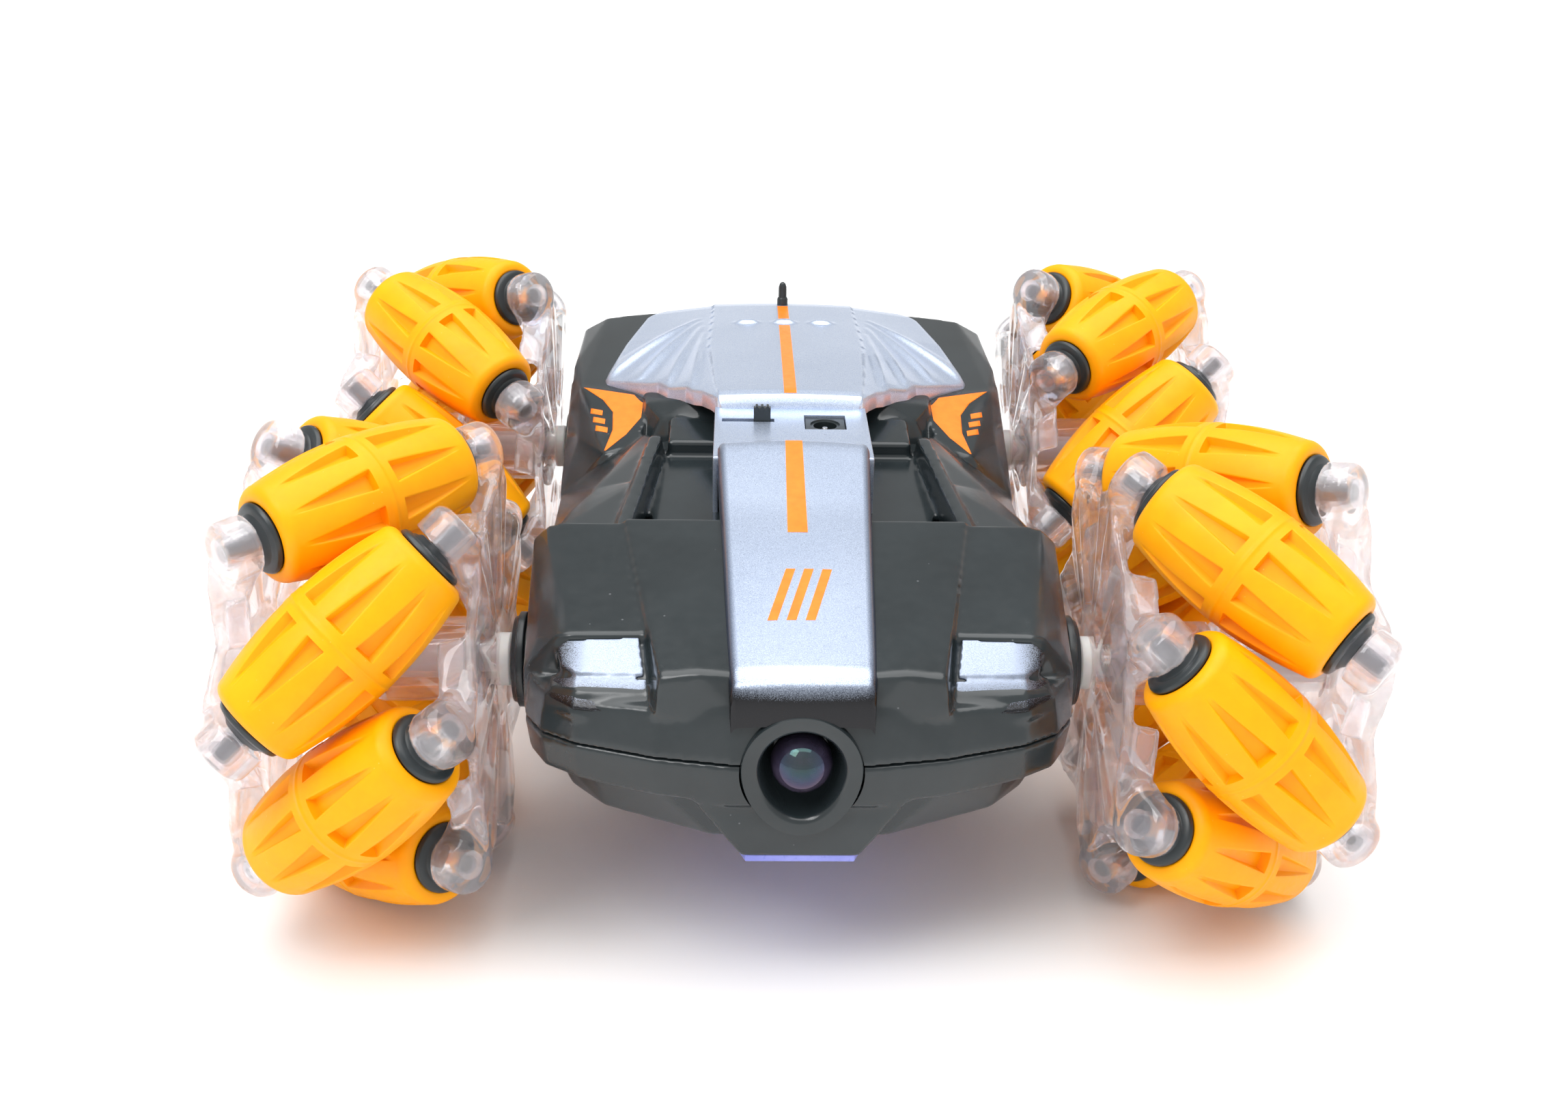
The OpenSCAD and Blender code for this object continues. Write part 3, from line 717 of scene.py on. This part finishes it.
def lower_islands():
    top = 51.85
    islands = across([(0, -110.2, top), (14, -109.5, top), (28, -106.8, top), (43.5, -101.4, top),
                      (50.5, -96.8, top), (54.2, -90, top), (57.0, -52, top), (56.6, -46, top),
                      (0, -110.0, 43), (14, -109.3, 43), (28, -106.4, 43.4), (43, -100.9, 44),
                      (49.8, -96.2, 44), (53.2, -89.6, 44), (55.8, -52, 44), (55.4, -46, 44)])
    islands += across([(48.8, -90.5, 44.5), (40.6, -98.8, 44.5), (28, -104.6, 44.5),
                       (45.6, -86, 34), (38.4, -94.6, 34), (17, -101.4, 31.6), (46, -50, 34),
                       (50, -50, 44.5), (40, -60, 31.6), (10, -101, 31.6), (40, -50, 31.6)])
    islands += across([(20.8, -107.8, 43.6), (15.6, -108.8, 38), (11.2, -109.0, 31.4),
                       (20.6, -98, 43.6), (15, -98, 34), (11, -96, 31.4), (21.5, -106, 46)])
    islands += across([(57.0, -47, top), (57.6, 22, top), (55.8, -47, 44), (56.2, 22, 44),
                       (50, -47, 36), (50, 22, 36), (44, -47, 31.6), (44, 22, 31.6)])
    islands += across([(57.6, 20, top), (57.8, 64, top), (57.6, 92, top), (54, 105.6, top),
                       (38, 110.6, top), (56.2, 20, 44), (56.6, 64, 44), (56.6, 92, 44),
                       (53, 104.8, 44), (38, 109.6, 44), (50, 20, 36), (50, 58, 34),
                       (50, 86, 34), (36, 104, 35), (44, 20, 31.6), (44, 58, 31.6),
                       (44, 84, 31.6), (30, 98, 31.6)])
    return islands


def build_lower():
    """The lower shell, with seats for the battery door, the chin plate and the screws."""
    door = [box((-24.2, 24.2), (-33.2, 33.2), (25, 34))]
    corners = ((21.2, -42), (21.2, -80), (14.2, -100), (10.8, -108.4))
    plate = across([(x, y, z) for x, y in corners for z in (25, 32.3)])
    screws = [rod((s * x, y, 20), (s * x, y, 37), 2.6, 28) for s in (-1, 1)
              for x, y in ((14, -88), (41, -40.5), (30.5, 19), (40, 95))]
    moulded_piece("lower_shell_skin", lower_islands(), "chassis", "gloss_black", M["gloss"],
                  ("lower_shell",), voxel=0.6, smooth=14,
                  cuts=[*nose_bore(), door, plate, screws, axle_holes()])


# ---------------- metallic cover

def spine_section(y):
    """(half width, crown height) of the spine at y."""
    ys = [-108.8, -107.6, -105, -101, -90, -70, -48, -30, -22.5, -20.5, -19, -18, -17.4]
    half = [13.5, 13.7, 13.9, 14.1, 14.5, 15.2, 16.1, 16.8, 17.1, 17.1, 17.0, 16.9, 16.7]
    crown = [66.6, 68.9, 70.3, 71.0, 72.9, 76.3, 79.7, 83.1, 84.5, 84.5, 83.9, 83.0, 81.8]
    return (float(np.interp(y, ys, half)), float(np.interp(y, ys, crown)))


def spine_z(x, y):
    """Height of the spine's slightly crowned top."""
    half, crown = spine_section(y)
    t = min(1.0, abs(x) / half)
    return crown - 0.9 * t ** 2.4


def grid_sheet(rows, name, material, closed_bottom=None, smooth_deg=40):
    """A closed slab from a grid of (x, y, z) rows in millimetres; its underside is dropped."""
    bm = bmesh.new()
    top = [[bm.verts.new([c * MM for c in p]) for p in row] for row in rows]
    low = [[bm.verts.new((p[0] * MM, p[1] * MM, (p[2] - closed_bottom) * MM)) for p in row]
           for row in rows]
    n, m = len(rows), len(rows[0])
    for i in range(n - 1):
        for j in range(m - 1):
            bm.faces.new((top[i][j], top[i][j + 1], top[i + 1][j + 1], top[i + 1][j]))
            bm.faces.new((low[i][j], low[i + 1][j], low[i + 1][j + 1], low[i][j + 1]))
    for i in range(n - 1):
        for j in (0, m - 1):
            bm.faces.new((top[i][j], top[i + 1][j], low[i + 1][j], low[i][j]))
    for j in range(m - 1):
        for i in (0, n - 1):
            bm.faces.new((top[i][j], low[i][j], low[i][j + 1], top[i][j + 1]))
    bmesh.ops.recalc_face_normals(bm, faces=bm.faces)
    return finish_mesh(bm, name, material, smooth_deg)


def build_spine():
    ys = [-108.8, -108.5, -108.1, -107.6, -106.8, -105.8, -104.6, -103, -101, -98, -94, -88, -80,
          -70, -60, -52, -48, -44, -36, -30, -26, -23.5, -22, -21, -20.3, -19.7, -19.1, -18.6,
          -18.1, -17.7, -17.4]
    across_t = [-1.0, -0.995, -0.985, -0.965, -0.93, -0.87, -0.78, -0.66, -0.5, -0.34, -0.17, 0.0]
    across_t += [-t for t in reversed(across_t[:-1])]
    rows = []
    for y in ys:
        half, _ = spine_section(y)
        row = []
        for t in across_t:
            x = t * half
            z = spine_z(x, y) - (1.0 - min(1.0, (1 - abs(t)) / 0.07)) ** 2 * 1.3
            row.append((x, y - 0.9 * (1 - t * t) * max(0.0, (-y - 95) / 14), z))
        rows.append(row)
    mesh = grid_sheet(rows, "spine_skin", M["spine"], 6.0)
    return piece("spine_skin", mesh, "chassis", ("spine_cover",))


# Each louvre rib of a wing, from its root (x, y) to its tip
DECK_RIBS = [((23.6, 94), (47.2, 54.5)), ((23.2, 90), (38.4, 46)), ((22.8, 84), (30.8, 35.5)),
             ((22.2, 76), (24.4, 26))]


def deck_z(x, y):
    """Top of the rear deck: a crowned middle strip and wings that fall away to their tips."""
    centre = float(np.interp(y, [DECK_FRONT, 11, 14, 40, 80, 106, 111],
                             [83.2, 84.6, 85.0, 83.6, 81.2, 79.4, 78.6]))
    half = float(np.interp(y, [DECK_FRONT, 24, 60, 111], [17.2, 18.6, 20.5, 20.0]))
    a = abs(x)
    z = centre - 0.5 * min(1.0, a / half) ** 2
    if a > half:
        fall = float(np.interp(y, [20, 36, 54, 80, 111], [0.46, 0.37, 0.295, 0.19, 0.13]))
        z -= 0.4 + (a - half) * fall
        reach = deck_half(y)
        calm = min(1.0, max(0.0, (reach - a) / 2.2))
        for (x0, y0), (x1, y1) in DECK_RIBS:
            dx, dy = x1 - x0, y1 - y0
            length = math.hypot(dx, dy)
            along = ((a - x0) * dx + (y - y0) * dy) / length
            off = ((a - x0) * dy - (y - y0) * dx) / length
            if -1 < along < length + 1:
                swell = math.sin(math.pi * min(1.0, max(0.0, along / length))) ** 0.5
                width = 0.8 + 1.7 * max(0.0, min(1.0, along / length))
                crest = 0.72 * width * calm * swell
                if off < 0:
                    z += crest * max(0.0, 1 + off / (2.2 * width)) ** 1.3
                else:
                    z += crest * max(0.0, 1 - off / width)
    for bx in (-10.3, 0, 10.3):
        d = math.hypot((x - bx) / 3.0, (y - 84) / 2.0)
        z += 1.0 * math.exp(-d ** 4)
    return z


def deck_half(y):
    """Half width of the deck at y, widest at the wing tips."""
    ys = [DECK_FRONT, 10.2, 14, 20, 23.3, 28, 33.6, 39, 44.5, 49, 52.3, 55, 60, 80, 104, 108, DECK_BACK]
    half = [16.8, 17.6, 19.2, 21.5, 23.6, 25.8, 30.6, 33.2, 38.6, 43.5, 47.2, 47.8, 47.2, 43.8,
            39.4, 37.5, 33.5]
    return float(np.interp(y, ys, half))


def build_deck():
    """The rear deck as one sheet whose edges roll down all around."""
    ys = [*np.arange(DECK_FRONT, 12, 0.5), *np.arange(12, DECK_BACK - 0.1, 0.55), DECK_BACK]
    columns = 72
    front_roll, back_roll = 11.5, 110.4
    rows = []
    for y in ys:
        row = []
        for i in range(-columns, columns + 1):
            t = i / columns
            x = deck_half(y) * t
            z = deck_z(x, y) - (max(0.0, (abs(t) - 0.975) / 0.025)) ** 2 * 0.9
            if y < front_roll:
                z -= (front_roll - y) ** 2 * 0.22
            if y > back_roll:
                z -= (y - back_roll) ** 2 * 0.9
            row.append((x, y, z))
        rows.append(row)
    mesh = grid_sheet(rows, "deck_skin", M["paint"], 3.0, 60)
    piece("deck_skin", mesh, "chassis")


def build_recess():
    """The flat floor between the spine and the rear deck, with its switch slot and socket hole."""
    length, top = (-23.5, 11), 81.5
    islands = [box((-18.2, 18.2), length, (79.4, top))]
    islands += both(box((17.0, 18.2), length, (64, top)))
    slot = [box((-16.4, -4.0), (0.2, 2.4), (70, 90))]
    socket_hole = [box((3.1, 12.9), (-4.7, 5.1), (70, 90))]
    moulded_piece("recess_floor", islands, "chassis", "metallic_lilac", M["paint"],
                  voxel=0.3, smooth=2, cuts=[slot, socket_hole])


# ---------------- printed marks

def print_patch(name, outline_rows, height, lift=0.05):
    """A thin printed film that follows a surface; outline_rows are rows of (x, y) points."""
    rows = [[(x, y, height(x, y) + lift) for x, y in row] for row in outline_rows]
    mesh = grid_sheet(rows, name, M["print"], 0.045, 80)
    piece(name, mesh, "chassis")


def quad_rows(a, b, c, d, n=10, m=4):
    """Rows of points over the quadrilateral a b c d; a-b is the first row's direction."""
    rows = []
    for i in range(n + 1):
        t = i / n
        p = (a[0] + (d[0] - a[0]) * t, a[1] + (d[1] - a[1]) * t)
        q = (b[0] + (c[0] - b[0]) * t, b[1] + (c[1] - b[1]) * t)
        rows.append([(p[0] + (q[0] - p[0]) * j / m, p[1] + (q[1] - p[1]) * j / m)
                     for j in range(m + 1)])
    return rows


def surface_height(obj):
    """The height of an object's top surface at (x, y), all in millimetres."""
    tree = BVHTree.FromObject(obj, bpy.context.evaluated_depsgraph_get())

    def height(x, y):
        hit = tree.ray_cast(Vector((x * MM, y * MM, 0.2)), Vector((0, 0, -1)))[0]
        return hit.z / MM

    return height


def build_shoulder_prints():
    """An orange flash with curved edges on each rear shoulder, and three small dashes beside it."""
    height = surface_height(bpy.data.objects["upper_shell_skin"])
    inner = [(39.6, 44.0), (37.0, 38.2), (37.2, 31.5), (40.6, 24.0), (45.4, 19.2)]
    outer = [(53.2, 51.0), (47.6, 43.0), (44.6, 36.0), (44.2, 27.5), (45.8, 19.4)]
    n, m = 28, 14
    for side, sign in (("left", 1), ("right", -1)):
        rows = []
        for i in range(n + 1):
            t = i / n * (len(inner) - 1)
            k = min(len(inner) - 2, int(t))
            f = t - k
            a = [inner[k][c] * (1 - f) + inner[k + 1][c] * f for c in (0, 1)]
            b = [outer[k][c] * (1 - f) + outer[k + 1][c] * f for c in (0, 1)]
            rows.append([(sign * (a[0] + (b[0] - a[0]) * j / m), a[1] + (b[1] - a[1]) * j / m)
                         for j in range(m + 1)])
        print_patch(f"shoulder_flash_{side}", rows, height, 0.07)
        for i in range(3):
            x, y = 49.2 - 0.9 * i, 37.5 - 4.2 * i
            print_patch(f"shoulder_dash_{side}_{i + 1}",
                        quad_rows((sign * (x - 1.9), y), (sign * (x + 1.3), y + 2.4),
                                  (sign * (x + 1.3), y + 0.2), (sign * (x - 1.9), y - 2.2), 6),
                        height, 0.07)


def build_prints():
    """The stripe along the middle, three slanted bars on the nose and the shoulder flashes."""
    print_patch("front_stripe",
                quad_rows((-2.1, -58.2), (2.1, -58.2), (1.9, -19.2), (-1.9, -19.2), 70), spine_z)
    for name, front, back, n in (("rear_stripe_front", 12, 80.5, 60),
                                 ("rear_stripe_back", 87.5, 105, 16)):
        print_patch(name, quad_rows((-1.5, front), (1.5, front), (1.5, back), (-1.5, back), n),
                    deck_z)
    front, back = -89.5, -72
    for i, x in enumerate((-3.7, 0.0, 3.7)):
        print_patch(f"nose_mark_{i + 1}",
                    quad_rows((x - 2.9, front), (x - 1.0, front), (x + 2.9, back), (x + 1.0, back),
                              18), spine_z)
    build_shoulder_prints()


# ---------------- nose lamp

def egg(r, drop, count=72):
    """Points of an outline that is round above and drops below."""
    out = []
    for i in range(count):
        a = 2 * math.pi * i / count
        x, z = r * math.cos(a), r * math.sin(a)
        if z < 0:
            z -= drop * (-z / r) ** 1.6
        out.append((x, z))
    return out


def build_lamp():
    """The bezel, turned from (radius, drop, y) rings, and the ball lens inside it."""
    profile = [(11.0, 2.4, -100.0), (11.65, 2.4, -109.6), (11.45, 2.4, -110.0),
               (9.2, 2.2, -110.15), (8.55, 2.1, -109.8), (8.0, 2.2, -108.6), (7.4, 2.2, -106.0),
               (6.6, 1.6, -103.2), (5.6, 0.8, -102.2), (5.2, 0.6, -100.0)]
    bm = bmesh.new()
    rings = []
    for r, drop, y in profile:
        rings.append([bm.verts.new((x * MM, y * MM, (LAMP_Z + z) * MM))
                      for x, z in egg(r, drop)])
    count = len(rings[0])
    for a, b in zip(rings, rings[1:] + [rings[0]]):
        for i in range(count):
            j = (i + 1) % count
            bm.faces.new((a[i], a[j], b[j], b[i]))
    bmesh.ops.recalc_face_normals(bm, faces=bm.faces)
    mesh = finish_mesh(bm, "lens_bezel_skin", M["gloss"], 50)
    piece("lens_bezel_skin", mesh, "chassis", ("lens_bezel",))
    bm = bmesh.new()
    bmesh.ops.create_icosphere(bm, subdivisions=5, radius=6.0 * MM)
    bmesh.ops.translate(bm, verts=bm.verts, vec=(0, -105.6 * MM, LAMP_Z * MM))
    mesh = finish_mesh(bm, "ball_lens", M["lens"])
    piece("ball_lens", mesh, "chassis", ("headlamp_lens",))


def build_brows():
    """The painted lamp facet above the nose on each side, and the oversprayed bulge under it."""
    facets = both([(31.5, -88.7, 68.9), (45.2, -88.7, 68.2), (47.6, -89.6, 67.0),
                   (46.6, -93.0, 64.6), (43.4, -95.2, 64.1), (30.2, -96.2, 64.3),
                   (31.5, -88.7, 65.5), (45.2, -88.7, 64.5), (43.0, -94.4, 62.0),
                   (30.2, -95.2, 62.0)])
    bulges = both([(29.6, -97.0, 63.9), (43.4, -95.6, 63.3), (48.2, -92.4, 61.8),
                   (28.9, -102.9, 59.0), (43.6, -100.3, 59.2), (49.0, -95.6, 59.4),
                   (29.6, -96.5, 60.5), (43.4, -95.0, 60.0), (28.9, -101.6, 58.0),
                   (43.6, -99.2, 58.0), (48.0, -94.0, 58.5)])
    moulded_piece("lamp_brows", facets + bulges, "chassis", "metallic_lilac", M["slip"],
                  ("lamp_trims",), voxel=0.35, smooth=9)


# ---------------- small fittings

def build_switch_knob():
    """A flat knob with three ridges for a fingernail."""
    islands = [box((-8.9, -4.9), (0.5, 2.1), (76.8, 84.8))]
    islands += [box((x - 0.3, x + 0.3), (0.45, 2.15), (84.0, 85.3)) for x in (-8.2, -6.9, -5.6)]
    moulded_piece("switch_knob", islands, "switch_slider", "satin_black", M["core"],
                  ("switch_slider",), voxel=0.12, smooth=2)


def build_socket():
    """The charging socket: a block with a countersunk bore, and its centre pin."""
    x, y = 8, 0.2
    block = [box((3.25, 12.75), (-4.55, 4.95), (69.2, 81.0))]
    hole = [rod((x, y, 72), (x, y, 90), 2.8, 40)]
    rim = [rod((x, y, 80.6), (x, y, 90), 3.4, 40, 6.0)]
    moulded_piece("socket_block", block, "chassis", "satin_black", M["satin"],
                  ("charging_socket",), voxel=0.2, smooth=2, cuts=[hole, rim])
    pin = revolve("socket_pin", [(0.0, 72.0), (0.95, 72.0), (0.95, 79.6), (0.6, 80.2),
                                 (0.0, 80.3)], M["steel"], 24, 35, 0)
    piece("socket_pin", pin, "chassis", (),
          Matrix.Translation((x * MM, y * MM, 0)))


def build_antenna():
    """A short stub on a wider foot."""
    stub = revolve("antenna_stub", [(0.0, 76.0), (1.55, 76.0), (1.55, 81.0), (1.35, 81.4),
                                    (1.2, 81.6), (1.15, 84.6), (0.8, 85.6), (0.3, 86.0),
                                    (0.0, 86.05)], M["core"], 32, 40, 0.08)
    piece("antenna_stub", stub, "chassis", ("antenna",),
          Matrix.Translation((0, 107.4 * MM, 0)))


def build_belly_covers():
    """The chin plate and the battery door with its row of grip grooves."""
    corners = ((20.9, -42.3), (20.9, -80), (14.0, -99.8), (10.6, -108.6))
    chin = across([(x, y, z) for x, y in corners for z in (30.3, 31.9)])
    moulded_piece("chin_plate_skin", chin, "chassis", "metallic_lilac", M["lilac"],
                  ("chin_plate",), voxel=0.35, smooth=2)
    door = [box((-23.9, 23.9), (-32.9, 32.9), (31.5, 33.2))]
    grip = [box((x - 0.6, x + 0.6), (20, 28), (30, 32.1)) for x in range(-9, 10, 3)]
    moulded_piece("battery_door_skin", door, "chassis", "satin_black", M["satin"],
                  ("battery_door",), voxel=0.4, smooth=2, cuts=[grip])


def finish_cad_nodes():
    """Procedural finishes for the CAD nodes that stay as they are."""
    finishes = {
        "headlamp_led": "board", "switch_housing": "steel", "main_board": "board",
        "battery_pack": "wrap", "shell_screws": "steel", "gearboxes": "nylon",
        "drive_motors": "steel", "switch_board": "board",
    }
    for node, key in finishes.items():
        obj = frame["nodes"][node]
        if not obj.material_slots:
            obj.data.materials.append(M[key])
        for slot in obj.material_slots:
            slot.material = M[key]


# ---------------- stage

def build_stage():
    """A plain white table top, finely divided so that its edge is far outside every view."""
    bm = bmesh.new()
    bmesh.ops.create_grid(bm, x_segments=24, y_segments=24, size=3.5)
    s = Shader("table_top", Specular_IOR_Level=0.2)
    s.colour(s.ramp(s.noise(0.002, 2, 0.5), [(0.3, (0.89,) * 3), (0.7, (0.92,) * 3)]))
    s.rough(s.remap(s.noise(0.01, 3, 0.5), 0.3, 0.7, 0.6, 0.75))
    obj = bpy.data.objects.new("table_top", finish_mesh(bm, "table_top", s.mat))
    bpy.context.scene.collection.objects.link(obj)


def softbox(name, at, target, size, watts):
    """A square white area light that faces the target."""
    data = bpy.data.lights.new(name, "AREA")
    data.shape = "SQUARE"
    data.size = size
    data.energy = watts
    obj = bpy.data.objects.new(name, data)
    bpy.context.scene.collection.objects.link(obj)
    obj.location = at
    obj.rotation_mode = "QUATERNION"
    obj.rotation_quaternion = (Vector(target) - Vector(at)).to_track_quat("-Z", "Y")


def build_light():
    """A white room, dimmer behind the car, with a large softbox overhead and a small key."""
    world = bpy.data.worlds.new("studio")
    bpy.context.scene.world = world
    world.use_nodes = True
    tree = world.node_tree
    coords = tree.nodes.new("ShaderNodeTexCoord")
    split = tree.nodes.new("ShaderNodeSeparateXYZ")
    tree.links.new(coords.outputs["Generated"], split.inputs[0])

    def ramp(stops):
        n = tree.nodes.new("ShaderNodeValToRGB")
        while len(n.color_ramp.elements) < len(stops):
            n.color_ramp.elements.new(0.5)
        for e, (at, v) in zip(n.color_ramp.elements, stops):
            e.position = at
            e.color = (v, v, v, 1)
        tree.links.new(split.outputs["Z"], n.inputs["Fac"])
        return n.outputs["Color"]

    behind = ramp([(0.0, 1.0), (0.09, 1.0), (0.2, 0.52), (0.7, 0.46), (0.85, 0.9)])
    front = ramp([(0.0, 1.0), (0.1, 0.95), (0.3, 0.85), (0.6, 0.8), (0.85, 0.9)])
    side = tree.nodes.new("ShaderNodeMapRange")
    tree.links.new(split.outputs["Y"], side.inputs["Value"])
    side.inputs["From Min"].default_value = -0.25
    side.inputs["From Max"].default_value = 0.25
    mix = tree.nodes.new("ShaderNodeMix")
    mix.data_type = "RGBA"
    tree.links.new(side.outputs[0], mix.inputs[0])
    tree.links.new(front, mix.inputs[6])
    tree.links.new(behind, mix.inputs[7])
    tree.links.new(mix.outputs[2], tree.nodes["Background"].inputs["Color"])
    tree.nodes["Background"].inputs["Strength"].default_value = 1.0
    softbox("softbox", (0, 0.25, 2.2), (0, 0.25, 0), 2.8, 62)
    softbox("key", (-0.7, -0.7, 1.3), (0, 0, 0.05), 0.7, 8)


def build_camera():
    """A camera in front of the nose, looking down on the car, turned and tilted a little."""
    data = bpy.data.cameras.new("camera")
    data.sensor_width = 36.0
    data.lens = data.sensor_width * 1.1716
    data.clip_start, data.clip_end = 0.01, 20
    cam = bpy.data.objects.new("camera", data)
    bpy.context.scene.collection.objects.link(cam)
    yaw, pitch, roll = (math.radians(a) for a in (1.6, 23.58, 1.1))
    ahead = Vector((math.sin(yaw) * math.cos(pitch), math.cos(yaw) * math.cos(pitch),
                    -math.sin(pitch)))
    right = Vector((math.cos(yaw), -math.sin(yaw), 0))
    up = right.cross(ahead)
    right, up = (right * math.cos(roll) + up * math.sin(roll),
                 up * math.cos(roll) - right * math.sin(roll))
    turn = Matrix((right, up, -ahead)).transposed().to_4x4()
    cam.matrix_world = Matrix.Translation((-0.0126, -0.4095, 0.2280)) @ turn
    bpy.context.scene.camera = cam


build_rollers()
build_plates()
build_axles()
build_upper()
build_lower()
build_spine()
build_deck()
build_recess()
build_prints()
build_lamp()
build_brows()
build_switch_knob()
build_socket()
build_antenna()
build_belly_covers()
finish_cad_nodes()
build_stage()
build_light()
build_camera()

bpy.context.scene.view_settings.view_transform = "Standard"
bpy.context.scene.view_settings.look = "None"
